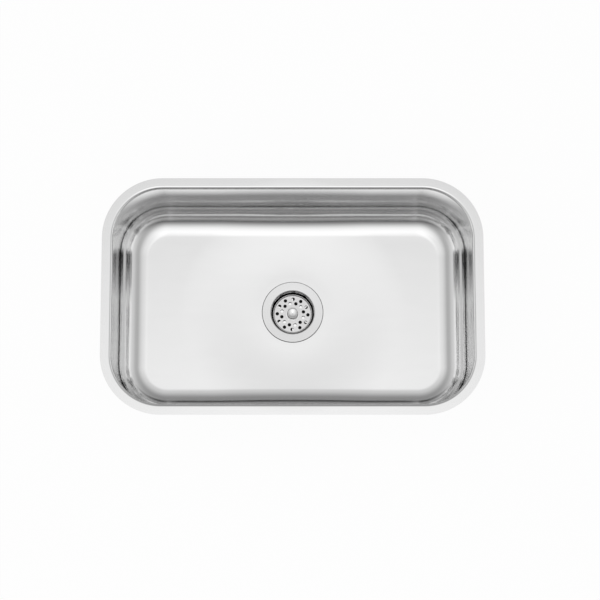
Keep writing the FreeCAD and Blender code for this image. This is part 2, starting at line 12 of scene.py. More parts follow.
import bpy
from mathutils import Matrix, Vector


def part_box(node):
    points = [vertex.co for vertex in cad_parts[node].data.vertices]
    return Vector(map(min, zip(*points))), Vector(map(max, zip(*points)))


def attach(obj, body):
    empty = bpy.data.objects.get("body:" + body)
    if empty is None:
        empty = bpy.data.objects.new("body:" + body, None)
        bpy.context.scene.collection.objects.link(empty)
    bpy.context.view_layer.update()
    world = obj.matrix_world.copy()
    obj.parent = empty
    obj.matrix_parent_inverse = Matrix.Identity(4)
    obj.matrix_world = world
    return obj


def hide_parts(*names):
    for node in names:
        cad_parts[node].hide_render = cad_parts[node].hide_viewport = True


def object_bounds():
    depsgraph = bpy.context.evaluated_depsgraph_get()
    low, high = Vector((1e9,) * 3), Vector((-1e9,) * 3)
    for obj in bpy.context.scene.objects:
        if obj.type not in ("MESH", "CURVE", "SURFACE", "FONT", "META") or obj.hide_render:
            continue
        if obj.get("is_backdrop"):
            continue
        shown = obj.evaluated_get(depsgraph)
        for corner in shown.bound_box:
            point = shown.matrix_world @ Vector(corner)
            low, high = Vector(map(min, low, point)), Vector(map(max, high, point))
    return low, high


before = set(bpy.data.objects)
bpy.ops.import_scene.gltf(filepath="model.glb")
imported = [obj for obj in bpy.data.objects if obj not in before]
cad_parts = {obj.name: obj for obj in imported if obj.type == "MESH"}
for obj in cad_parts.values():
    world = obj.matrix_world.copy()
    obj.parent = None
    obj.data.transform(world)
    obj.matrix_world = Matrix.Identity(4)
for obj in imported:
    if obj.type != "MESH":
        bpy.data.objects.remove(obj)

log = logging.getLogger("sink")
Number = Union[float, "Value"]
Profile = Sequence[tuple[float, float]]

MM = 0.001            # metres in a millimetre
NEAR = 0.01           # millimetres within which a place counts as on a line or a level
CLOSE = 0.1           # the same where a round was cut in between
LARGE_FACE = 0.01     # square metres that only the middle face of the sheet has
AXIS = 1e-4           # radius in millimetres that stands for the axis
MERGE = 1.5e-6        # metres within which corners become one
FULL_TURN = 360.0     # degrees


# ---------------------------------------------------------------- shader graphs

class Value:
    """One number in a node tree; arithmetic on it adds Math nodes."""

    def __init__(self, graph: "Graph", socket: bpy.types.NodeSocket) -> None:
        """Wrap an output socket.

        Args:
            graph: tree that the socket belongs to.
            socket: output socket with a number.
        """
        self.graph = graph
        self.socket = socket

    def _math(self, operation: str, *others: Number, swapped: bool = False) -> "Value":
        """Add one Math node.

        Args:
            operation: name of the operation.
            others: further operands.
            swapped: True when this value is the second operand.

        Returns:
            The result.
        """
        operands = (*others, self) if swapped else (self, *others)
        node = self.graph.add("ShaderNodeMath", {"operation": operation},
                              dict(enumerate(operands)))
        return Value(self.graph, node.outputs[0])

    def __add__(self, other: Number) -> "Value":
        """Sum."""
        return self._math("ADD", other)

    def __sub__(self, other: Number) -> "Value":
        """Difference."""
        return self._math("SUBTRACT", other)

    def __rsub__(self, other: Number) -> "Value":
        """Difference with this value on the right."""
        return self._math("SUBTRACT", other, swapped=True)

    def __mul__(self, other: Number) -> "Value":
        """Product."""
        return self._math("MULTIPLY", other)

    def __truediv__(self, other: Number) -> "Value":
        """Quotient."""
        return self._math("DIVIDE", other)

    __radd__ = __add__
    __rmul__ = __mul__

    def root(self) -> "Value":
        """Square root."""
        return self._math("SQRT")

    def angle_from(self, other: "Value") -> "Value":
        """Angle whose tangent is this value over the other."""
        return self._math("ARCTAN2", other)

    def at_least(self, other: Number) -> "Value":
        """The larger of the two."""
        return self._math("MAXIMUM", other)

    def is_above(self, other: Number) -> "Value":
        """1 where this value is the larger, else 0."""
        return self._math("GREATER_THAN", other)

    def degrees_up(self) -> "Value":
        """Elevation in degrees of a direction with this Z."""
        return self._math("ARCSINE") * math.degrees(1.0)

    def hypotenuse(self, other: "Value") -> "Value":
        """Long side of the right triangle that has the two as its short sides."""
        return (self * self + other * other).root()

    def wave(self, pitch: float) -> "Value":
        """Smooth wave between 0 and 1, with the pitch in radians per metre."""
        return (self * pitch)._math("SINE") * 0.5 + 0.5

    def mixed(self, other: "Value", share: Number) -> "Value":
        """A share of this value and the rest of the other."""
        return self * share + other * (1.0 - share)

    def between(self, low: float, high: float, smooth: bool = True) -> "Value":
        """Rise from 0 at the low value to 1 at the high one."""
        return self.ramp([(low, 0.0), (high, 1.0)], smooth)

    def ramp(self, stops: Sequence[tuple[float, float]], smooth: bool = False) -> "Value":
        """Look the value up on a curve through stops.

        Args:
            stops: pairs of place and result, places rising.
            smooth: eased between the stops instead of straight.

        Returns:
            The looked-up number.
        """
        low, high = stops[0][0], stops[-1][0]
        top = max(result for _, result in stops)
        placed = (self - low) / (high - low)
        shades = [((place - low) / (high - low), (result / top,) * 3) for place, result in stops]
        return Value(self.graph, self.graph.colours(placed, shades, smooth)) * top


@dataclass(frozen=True)
class Pattern:
    """Noise of one size: waves per metre, octaves, share of the finer ones, and stretch."""

    scale: float
    detail: float = 2.0
    uneven: float = 0.5
    stretch: tuple = (1.0, 1.0, 1.0)


class Graph:
    """A node tree that is written as expressions."""

    def __init__(self, tree: bpy.types.NodeTree) -> None:
        """Empty the tree.

        Args:
            tree: node tree of a material or world.
        """
        tree.nodes.clear()
        self.tree = tree

    def add(self, kind: str, settings: dict, inputs: dict) -> bpy.types.Node:
        """Add one node.

        Args:
            kind: type of the node.
            settings: properties, set first.
            inputs: values or links of its sockets, by name or index.

        Returns:
            The node.
        """
        node = self.tree.nodes.new(kind)
        for name, setting in settings.items():
            setattr(node, name, setting)
        for key, source in inputs.items():
            socket = node.inputs[key]
            if isinstance(source, Value):
                source = source.socket
            if isinstance(source, bpy.types.NodeSocket):
                self.tree.links.new(source, socket)
            else:
                socket.default_value = source
        return node

    def colours(self, factor: Value, stops: Sequence[tuple[float, tuple]],
                smooth: bool = False) -> bpy.types.NodeSocket:
        """Colour ramp.

        Args:
            factor: place on the ramp, 0 to 1.
            stops: pairs of place and colour.
            smooth: eased between the stops.

        Returns:
            The colour socket.
        """
        node = self.add("ShaderNodeValToRGB", {}, {"Fac": factor})
        band = node.color_ramp
        band.interpolation = "EASE" if smooth else "LINEAR"
        while len(band.elements) < len(stops):
            band.elements.new(1.0)
        for element, (place, shade) in zip(band.elements, stops):
            element.position = place
            element.color = (*shade, 1.0)
        return node.outputs["Color"]

    def place(self, coordinates: str = "Object") -> tuple[Value, Value, Value]:
        """Coordinates as three numbers.

        Args:
            coordinates: output of the Texture Coordinate node.

        Returns:
            X, Y and Z.
        """
        source = self.add("ShaderNodeTexCoord", {}, {})
        parts = self.add("ShaderNodeSeparateXYZ", {}, {0: source.outputs[coordinates]})
        return tuple(Value(self, socket) for socket in parts.outputs)

    def noise(self, pattern: Pattern, x: Number, y: Number, z: Number) -> Value:
        """Noise between 0 and 1.

        Args:
            pattern: size and stretch of the noise.
            x: first coordinate.
            y: second coordinate.
            z: third coordinate.

        Returns:
            The noise.
        """
        parts = [part if stretch == 1.0 else part * stretch
                 for part, stretch in zip((x, y, z), pattern.stretch)]
        place = self.add("ShaderNodeCombineXYZ", {}, dict(enumerate(parts)))
        node = self.add("ShaderNodeTexNoise", {}, {
            "Vector": place.outputs[0], "Scale": pattern.scale, "Detail": pattern.detail,
            "Roughness": pattern.uneven})
        return Value(self, node.outputs[0])

    def blend(self, factor: Value, first: tuple, second: tuple) -> bpy.types.NodeSocket:
        """Mix of two colours.

        Args:
            factor: share of the second colour.
            first: linear colour.
            second: linear colour.

        Returns:
            The colour socket.
        """
        sockets = {"Factor": factor, 6: (*first, 1.0), 7: (*second, 1.0)}  # 6, 7: the colours
        return self.add("ShaderNodeMix", {"data_type": "RGBA"}, sockets).outputs[2]

    def bump(self, height: Value, depth: float, strength: float = 1.0,
             under: Union[bpy.types.NodeSocket, None] = None) -> bpy.types.NodeSocket:
        """Normal bent by a height.

        Args:
            height: height between 0 and 1.
            depth: what a height of 1 stands for, in millimetres.
            strength: share of the effect.
            under: normal that is bent further, if not the surface's own.

        Returns:
            The normal socket.
        """
        inputs = {"Strength": strength, "Distance": depth * MM, "Height": height}
        if under is not None:
            inputs["Normal"] = under
        return self.add("ShaderNodeBump", {}, inputs).outputs[0]

    def surface(self, **inputs: object) -> None:
        """Finish a material with one Principled shader.

        Args:
            inputs: sockets of the shader, with underscores for spaces.
        """
        named = {name.replace("_", " "): source for name, source in inputs.items()}
        shader = self.add("ShaderNodeBsdfPrincipled", {}, named)
        self.add("ShaderNodeOutputMaterial", {}, {"Surface": shader.outputs[0]})


# ---------------------------------------------------------------- finishes

class Grain(Enum):
    """Which way the fine lines of a metal finish run."""

    ALONG_LENGTH = "along the floor and round the walls of the bowl"
    ROUND_AXIS = "round the axis of the strainer"


@dataclass(frozen=True)
class Finish:
    """A named surface finish."""

    name: str

    def material(self) -> bpy.types.Material:
        """Material of the finish, made once."""
        made = bpy.data.materials.get(f"finish_{self.name}")
        if made is None:
            made = bpy.data.materials.new(f"finish_{self.name}")
            made.use_nodes = True
            self.shade(Graph(made.node_tree))
        return made

    def shade(self, graph: Graph) -> None:
        """Write the nodes of the finish.

        Args:
            graph: empty tree of the material.
        """
        raise NotImplementedError


@dataclass(frozen=True)
class BrushedSteel(Finish):
    """Stainless steel with fine lines from the belt or the lathe."""

    grain: Grain
    shade_low: tuple = (0.84, 0.84, 0.84)
    shade_high: tuple = (0.90, 0.90, 0.90)
    roughness: float = 0.12
    roughness_spread: float = 0.06
    line_pattern: Pattern = Pattern(1600.0, 3.0, 0.6)
    line_depth: float = 0.0006
    line_length: float = 60.0
    line_turn: float = 0.0006
    line_share: float = 0.6
    clouds: Pattern = Pattern(14.0, 3.0, 0.55)
    smears: Pattern = Pattern(60.0, 2.0, 0.5, (0.3, 1.0, 0.6))
    level_places: tuple = ((-168.0, 1.0), (-140.0, 0.0), (-6.0, 0.0), (-1.0, 1.0))
    fall: float = 0.0
    fall_from: float = 185.0
    fall_to: float = 60.0

    def shade(self, graph: Graph) -> None:
        """Lines that run one way, with soft clouds of wear in the gloss."""
        x, y, z = graph.place()
        if self.grain is Grain.ALONG_LENGTH:
            level = z.ramp([(place * MM, share) for place, share in self.level_places], True)
            floor = graph.noise(self.line_pattern, x / self.line_length, y, 0.0)
            walls = graph.noise(self.line_pattern, x / self.line_length, y / self.line_length, z)
            lines = floor.mixed(walls, level)
        else:
            turn = y.angle_from(x)
            lines = graph.noise(self.line_pattern, x.hypotenuse(y), turn * self.line_turn, z)
        wear = lines * 0.5 + graph.noise(self.clouds, x, y, z) * 0.5 - 0.5
        normal = graph.bump(lines, self.line_depth)
        if self.fall:
            slope = x.hypotenuse(y).between(self.fall_to * MM, self.fall_from * MM)
            normal = graph.bump(slope, self.fall, under=normal)
        shade = lines.mixed(graph.noise(self.smears, x, y, z), self.line_share)
        graph.surface(
            Base_Color=graph.blend(shade, self.shade_low, self.shade_high),
            Metallic=1.0,
            Roughness=self.roughness + self.roughness_spread * wear,
            Normal=normal,
        )


@dataclass(frozen=True)
class PolishedMetal(Finish):
    """Polished or plated metal with faint haze from handling."""

    shade_clean: tuple = (0.86, 0.86, 0.86)
    shade_hazed: tuple = (0.80, 0.80, 0.80)
    roughness: float = 0.05
    haze: float = 0.10
    haze_patches: Pattern = Pattern(160.0, 4.0, 0.6)
    haze_band: tuple = (0.45, 0.75)
    wipe_marks: Pattern = Pattern(2200.0, 2.0, 0.5, (0.1, 1.0, 1.0))
    wipe_depth: float = 0.0003

    def shade(self, graph: Graph) -> None:
        """Clear gloss with hazy patches and very fine wipe marks."""
        x, y, z = graph.place()
        haze = graph.noise(self.haze_patches, x, y, z).between(*self.haze_band)
        wipes = graph.noise(self.wipe_marks, x, y, z)
        graph.surface(
            Base_Color=graph.blend(haze, self.shade_clean, self.shade_hazed),
            Metallic=1.0,
            Roughness=self.roughness + self.haze * haze * wipes,
            Normal=graph.bump(wipes, self.wipe_depth),
        )


@dataclass(frozen=True)
class Elastomer(Finish):
    """Rubber with a fine matt skin and paler bloom in patches."""

    shade_deep: tuple = (0.012, 0.012, 0.012)
    shade_bloom: tuple = (0.035, 0.035, 0.036)
    roughness: float = 0.55
    bloom_patches: Pattern = Pattern(90.0, 4.0, 0.6)
    bloom_band: tuple = (0.4, 0.7)
    bloom_dulls: float = 0.2
    pit_pattern: Pattern = Pattern(3000.0, 2.0, 0.6)
    pits_dull: float = 0.1
    pit_depth: float = 0.02
    bump_strength: float = 0.5

    def shade(self, graph: Graph) -> None:
        """Fine pits, and bloom that lifts colour and roughness together."""
        x, y, z = graph.place()
        bloom = graph.noise(self.bloom_patches, x, y, z).between(*self.bloom_band)
        pits = graph.noise(self.pit_pattern, x, y, z)
        graph.surface(
            Base_Color=graph.blend(bloom, self.shade_deep, self.shade_bloom),
            Roughness=self.roughness + self.bloom_dulls * bloom + self.pits_dull * pits,
            Normal=graph.bump(pits, self.pit_depth, self.bump_strength),
        )


@dataclass(frozen=True)
class Moulding(Finish):
    """Moulded plastic with a spark-eroded texture."""

    shade_low: tuple = (0.018, 0.018, 0.019)
    shade_high: tuple = (0.032, 0.032, 0.033)
    roughness: float = 0.38
    texture_pattern: Pattern = Pattern(2200.0, 3.0, 0.6)
    texture_dulls: float = 0.14
    texture_depth: float = 0.012
    flow_marks: Pattern = Pattern(45.0, 3.0, 0.5, (1.0, 1.0, 3.0))
    flow_dulls: float = 0.1
    flow_share: float = 0.6
    bump_strength: float = 0.6

    def shade(self, graph: Graph) -> None:
        """Even texture with broad, faint flow marks."""
        x, y, z = graph.place()
        texture = graph.noise(self.texture_pattern, x, y, z)
        flow = graph.noise(self.flow_marks, x, y, z)
        dull = self.texture_dulls * (texture - 0.5) + self.flow_dulls * flow
        graph.surface(
            Base_Color=graph.blend(flow.mixed(texture, self.flow_share),
                                   self.shade_low, self.shade_high),
            Roughness=self.roughness + dull,
            Normal=graph.bump(texture, self.texture_depth, self.bump_strength),
        )


@dataclass(frozen=True)
class PressedFibre(Finish):
    """Brown pressed board with short fibres."""

    shade_dark: tuple = (0.13, 0.075, 0.04)
    shade_pale: tuple = (0.30, 0.19, 0.11)
    roughness: float = 0.78
    roughness_spread: float = 0.15
    patterns: tuple = (
        (0.4, Pattern(2600.0, 2.0, 0.6, (0.12, 1.0, 1.0))),
        (0.3, Pattern(2600.0, 2.0, 0.6, (1.0, 0.12, 1.0))),
        (0.3, Pattern(120.0, 3.0, 0.5)),
    )
    shade_band: tuple = (0.35, 0.65)
    fibre_depth: float = 0.04
    bump_strength: float = 0.6

    def shade(self, graph: Graph) -> None:
        """Short crossed fibres over blotches."""
        x, y, z = graph.place()
        one_way, other_way, blotch = (
            graph.noise(pattern, x, y, z) * share for share, pattern in self.patterns)
        fibres = one_way + other_way + blotch
        graph.surface(
            Base_Color=graph.blend(fibres.between(*self.shade_band, smooth=False),
                                   self.shade_dark, self.shade_pale),
            Roughness=self.roughness + self.roughness_spread * fibres,
            Normal=graph.bump(fibres, self.fibre_depth, self.bump_strength),
        )


@dataclass(frozen=True)
class DeadeningSheet(Finish):
    """Filled rubber sheet with a woven press mark, as on sound-deadening pads."""

    shade_deep: tuple = (0.030, 0.030, 0.033)
    shade_high: tuple = (0.062, 0.062, 0.066)
    roughness: float = 0.7
    marks_per_mm: float = 0.55
    mark_share: float = 0.35
    mark_gloss: float = 0.1
    mark_depth: float = 0.25
    mark_height: float = 0.8
    bump_strength: float = 0.7
    speck_pattern: Pattern = Pattern(1700.0, 2.0, 0.7)
    speck_band: tuple = (0.62, 0.72)
    speck_share: float = 0.25
    dust_pattern: Pattern = Pattern(22.0, 4.0, 0.6)
    dust_share: float = 0.4
    dust_dulls: float = 0.2

    def shade(self, graph: Graph) -> None:
        """Small raised squares in rows, with mineral specks."""
        x, y, z = graph.place()
        pitch = 2.0 * math.pi * self.marks_per_mm / MM
        raised = (x.wave(pitch) * y.wave(pitch) * z.wave(pitch)).root()
        specks = graph.noise(self.speck_pattern, x, y, z).between(*self.speck_band, smooth=False)
        dust = graph.noise(self.dust_pattern, x, y, z)
        shade = raised * self.mark_share + dust * self.dust_share + specks * self.speck_share
        graph.surface(
            Base_Color=graph.blend(shade, self.shade_deep, self.shade_high),
            Roughness=self.roughness + self.dust_dulls * dust - self.mark_gloss * raised,
            Normal=graph.bump(raised.mixed(specks, self.mark_height), self.mark_depth,
                              self.bump_strength),
        )


@dataclass(frozen=True)
class TurnedBrass(Finish):
    """Brass with lathe rings and a little tarnish."""

    shade_bright: tuple = (0.72, 0.52, 0.24)
    shade_tarnished: tuple = (0.36, 0.24, 0.11)
    roughness: float = 0.2
    ring_pattern: Pattern = Pattern(4200.0)
    rings_dull: float = 0.1
    ring_depth: float = 0.002
    tarnish_patches: Pattern = Pattern(260.0, 4.0, 0.6)
    tarnish_band: tuple = (0.45, 0.75)
    tarnish_dulls: float = 0.25
    tarnish_share: float = 0.7

    def shade(self, graph: Graph) -> None:
        """Rings round the axis, darker in patches."""
        x, y, z = graph.place()
        rings = graph.noise(self.ring_pattern, x.hypotenuse(y), z, 0.0)
        tarnish = graph.noise(self.tarnish_patches, x, y, z).between(*self.tarnish_band)
        graph.surface(
            Base_Color=graph.blend(tarnish * self.tarnish_share,
                                   self.shade_bright, self.shade_tarnished),
            Metallic=1.0,
            Roughness=self.roughness + self.tarnish_dulls * tarnish + self.rings_dull * rings,
            Normal=graph.bump(rings, self.ring_depth),
        )


BOWL_STEEL = BrushedSteel("bowl_steel", Grain.ALONG_LENGTH, fall=3.6)
# Outside of the bowl: the higher roughness is the real duller mill finish; the darker colour is
# painted shade.
BOWL_UNDERSIDE_DULL_AND_SHADED = BrushedSteel("bowl_underside_dull_and_shaded", Grain.ALONG_LENGTH, (0.50, 0.50, 0.51),
                              (0.60, 0.60, 0.61), roughness=0.36, roughness_spread=0.14,
                              line_depth=0.0015)
STRAINER_STEEL = BrushedSteel("strainer_steel", Grain.ROUND_AXIS, (0.77, 0.77, 0.77),
                              (0.83, 0.83, 0.83), roughness=0.16)
BASKET_STEEL = BrushedSteel("basket_steel", Grain.ROUND_AXIS, (0.74, 0.735, 0.735),
                            (0.80, 0.795, 0.795), roughness=0.2)
KNOB_CHROME = PolishedMetal("knob_chrome", (0.92, 0.92, 0.92), (0.86, 0.86, 0.86), 0.04, 0.06)
SPIDER_CHROME = PolishedMetal("spider_chrome", (0.97, 0.97, 0.97), (0.93, 0.93, 0.93), 0.06)
TAIL_CHROME = PolishedMetal("tail_chrome", (0.50, 0.50, 0.52), (0.47, 0.47, 0.48), 0.2)
CLIP_WIRE = PolishedMetal("clip_steel", shade_clean=(0.62, 0.62, 0.62), roughness=0.18)
POST_BRASS = TurnedBrass("post_brass")
SEAL_RUBBER = Elastomer("seal_rubber")
STOPPER_RUBBER = Elastomer("stopper_rubber", shade_deep=(0.006, 0.006, 0.006),
                           shade_bloom=(0.014, 0.014, 0.014), roughness=0.6)
FRICTION_FIBRE = PressedFibre("friction_fibre")
NUT_PLASTIC = Moulding("nut_plastic")
SOCKET_PLASTIC = Moulding("socket_plastic", shade_low=(0.62, 0.62, 0.60),
                          shade_high=(0.72, 0.72, 0.70), roughness=0.42)
WASHER_PLASTIC = Moulding("washer_plastic", shade_low=(0.55, 0.55, 0.53),
                          shade_high=(0.66, 0.66, 0.64), roughness=0.46)
PAD_SHEET = DeadeningSheet("deadening_pad")


# ---------------------------------------------------------------- the bench: edit-mode modelling

def all_level(corners: Iterable[Vector], height: float, near: float = NEAR) -> bool:
    """Whether all corners lie at one height, in millimetres."""
    return all(abs(corner.z - height) < near for corner in corners)


def off_outline(x: float, y: float, half_x: float, half_y: float, corner: float) -> float:
    """Distance of a place from the outline of a rounded rectangle round the origin.

    Args:
        x: place along the rectangle's length, in millimetres.
        y: place along its width.
        half_x: half its length.
        half_y: half its width.
        corner: radius of its corners.

    Returns:
        The distance in millimetres.
    """
    past_x = max(abs(x) - half_x + corner, 0.0)
    past_y = max(abs(y) - half_y + corner, 0.0)
    return abs(math.hypot(past_x, past_y) - corner)


class Bench:
    """Models one piece at a time with Blender's own tools."""

    def __init__(self, name: str) -> None:
        """Clear the selection.

        Args:
            name: name of the piece to come.
        """
        self.name = name
        if bpy.context.mode != "OBJECT":
            bpy.ops.object.mode_set(mode="OBJECT")
        bpy.ops.object.select_all(action="DESELECT")

    @property
    def piece(self) -> bpy.types.Object:
        """The piece on the bench."""
        return bpy.context.view_layer.objects.active

    def started(self) -> "Bench":
        """Name the new primitive and go into edit mode."""
        self.piece.name = self.name
        self.piece.data.name = self.name
        bpy.ops.object.transform_apply(location=True, rotation=True, scale=True)
        bpy.ops.object.mode_set(mode="EDIT")
        return self

    def select(self, domain: str, wanted: Callable[[object, Sequence[Vector]], bool]) -> int:
        """Select vertices, edges or faces in code.

        Args:
            domain: VERT, EDGE or FACE.
            wanted: test of an element and the places of its corners, in millimetres.

        Returns:
            How many are selected.
        """
        bpy.ops.mesh.select_mode(type=domain)
        bpy.ops.mesh.select_all(action="DESELECT")
        bpy.ops.object.mode_set(mode="OBJECT")
        mesh = self.piece.data
        places = [vertex.co / MM for vertex in mesh.vertices]
        items = {"VERT": mesh.vertices, "EDGE": mesh.edges, "FACE": mesh.polygons}[domain]
        count = 0
        for item in items:
            corners = [item.index] if domain == "VERT" else item.vertices
            if wanted(item, [places[index] for index in corners]):
                item.select = True
                count += 1
        bpy.ops.object.mode_set(mode="EDIT")
        return count

    def select_ring(self, radius: float, height: float) -> int:
        """Select the edges of one ring round Z.

        Args:
            radius: radius of the ring in millimetres.
            height: height of the ring.

        Returns:
            How many edges are selected.
        """
        def on_ring(_: object, corners: Sequence[Vector]) -> bool:
            """Whether both ends of an edge lie on the ring."""
            return all(abs(math.hypot(p.x, p.y) - radius) + abs(p.z - height) < NEAR
                       for p in corners)
        return self.select("EDGE", on_ring)

    def bevel(self, offset: float, segments: int, affect: str = "EDGES") -> None:
        """Round what is selected.

        Args:
            offset: radius in millimetres.
            segments: faces round the corner.
            affect: EDGES or VERTICES.
        """
        bpy.ops.mesh.bevel(offset=offset * MM, segments=segments, affect=affect, profile=0.5,
                           clamp_overlap=False)

    def inset(self, thickness: float, depth: float = 0.0) -> None:
        """Inset the selected faces.

        Args:
            thickness: width of the new border in millimetres.
            depth: how far the middle rises.
        """
        bpy.ops.mesh.inset(thickness=thickness * MM, depth=depth * MM, use_even_offset=True)

    def extrude(self, rise: float) -> None:
        """Extrude the selected faces and move them up by so many millimetres."""
        move = {"value": (0, 0, rise * MM)}
        bpy.ops.mesh.extrude_region_move(TRANSFORM_OT_translate=move)

    def pull_ring(self, from_radius: float, radius: float, rise: float) -> None:
        """Extrude the selected ring of edges to a new radius and height.

        Args:
            from_radius: radius of the ring now, in millimetres.
            radius: its new radius.
            rise: change of height.
        """
        bpy.ops.mesh.extrude_edges_move(TRANSFORM_OT_translate={"value": (0, 0, rise * MM)})
        scale = radius / from_radius
        bpy.ops.transform.resize(value=(scale, scale, 1.0))

    def modify(self, kind: str, **settings: object) -> None:
        """Apply one modifier to the piece.

        Args:
            kind: type of the modifier.
            settings: its properties.
        """
        bpy.ops.object.mode_set(mode="OBJECT")
        modifier = self.piece.modifiers.new(kind.title(), kind)
        for name, setting in settings.items():
            setattr(modifier, name, setting)
        bpy.ops.object.modifier_apply(modifier=modifier.name)
        bpy.ops.object.mode_set(mode="EDIT")

    def finished(self, finish: Finish, body: str, nodes: Sequence[str], slot: str,
                 smooth_below: float = 38.0) -> bpy.types.Object:
        """Shade and dress the piece and hand it over to its CAD body.

        Args:
            finish: surface finish.
            body: CAD body that it rides on.
            nodes: CAD nodes that it stands for.
            slot: material slot of the record; not used.
            smooth_below: edges flatter than this many degrees are smooth.

        Returns:
            The piece.
        """
        bpy.ops.object.mode_set(mode="OBJECT")
        piece = self.piece
        piece.data.materials.clear()
        piece.data.materials.append(finish.material())
        bpy.ops.object.shade_smooth_by_angle(angle=math.radians(smooth_below),
                                             keep_sharp_edges=False)
        weighted = piece.modifiers.new("Weighted", "WEIGHTED_NORMAL")
        weighted.keep_sharp = True
        weighted.weight = 100
        bpy.ops.object.modifier_apply(modifier=weighted.name)
        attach(piece, body)
        if nodes:
            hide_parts(*nodes)
        bpy.ops.object.select_all(action="DESELECT")
        log.info("%s: %d faces", piece.name, len(piece.data.polygons))
        return piece


class Lathe(Bench):
    """Turns pieces round the strainer's axis."""

    steps: int = 96

    def turn(self, profile: Profile, closed: bool = True) -> "Lathe":
        """Turn a closed section into a ring, or one that ends on the axis into a solid.

        Args:
            profile: radius and height of each corner in millimetres.
            closed: join the last ring to the first.

        Returns:
            The lathe, in edit mode.
        """
        radius, height = profile[0]
        bpy.ops.mesh.primitive_circle_add(vertices=self.steps, radius=radius * MM,
                                          location=(0, 0, height * MM))
        self.started()
        bpy.ops.mesh.select_all(action="SELECT")
        for new_radius, new_height in profile[1:]:
            self.pull_ring(radius, max(new_radius, AXIS), new_height - height)
            radius, height = max(new_radius, AXIS), new_height
        if closed:
            self.pull_ring(radius, profile[0][0], profile[0][1] - height)
        bpy.ops.mesh.select_all(action="SELECT")
        bpy.ops.mesh.remove_doubles(threshold=MERGE)
        bpy.ops.mesh.normals_make_consistent(inside=False)
        return self

    def soften(self, width: float, sharp_above: float = 40.0) -> None:
        """Round all edges sharper than so many degrees by so many millimetres."""
        self.modify("BEVEL", width=width * MM, segments=3, limit_method="ANGLE",
                    angle_limit=math.radians(sharp_above))

    def rounded(self, radius: float, height: float, size: float, segments: int = 3) -> "Lathe":
        """Round one ring edge.

        Args:
            radius: radius of the edge in millimetres.
            height: its height.
            size: radius of the round.
            segments: faces across it.

        Returns:
            The lathe.
        """
        if self.select_ring(radius, height):
            self.bevel(size, segments)
        return self


def threaded(radius: float, top: float, bottom: float, pitch: float, depth: float) -> list:
    """Outer profile of a thread, drawn as rings, from top to bottom.

    Args:
        radius: crest radius in millimetres.
        top: height where it starts.
        bottom: height where it ends.
        pitch: distance between crests.
        depth: depth of the grooves.

    Returns:
        Corners of the profile.
    """
    crest_end, root_start, root_end = 0.28, 0.52, 0.76
    root = radius - depth
    turns = max(int((top - bottom) / pitch), 1)
    step = (top - bottom) / turns
    corners = []
    for turn in range(turns):
        start = top - turn * step
        corners += [(radius, start), (radius, start - crest_end * step),
                    (root, start - root_start * step), (root, start - root_end * step)]
    return corners + [(radius, bottom)]


# ---------------------------------------------------------------- bowl and its pads

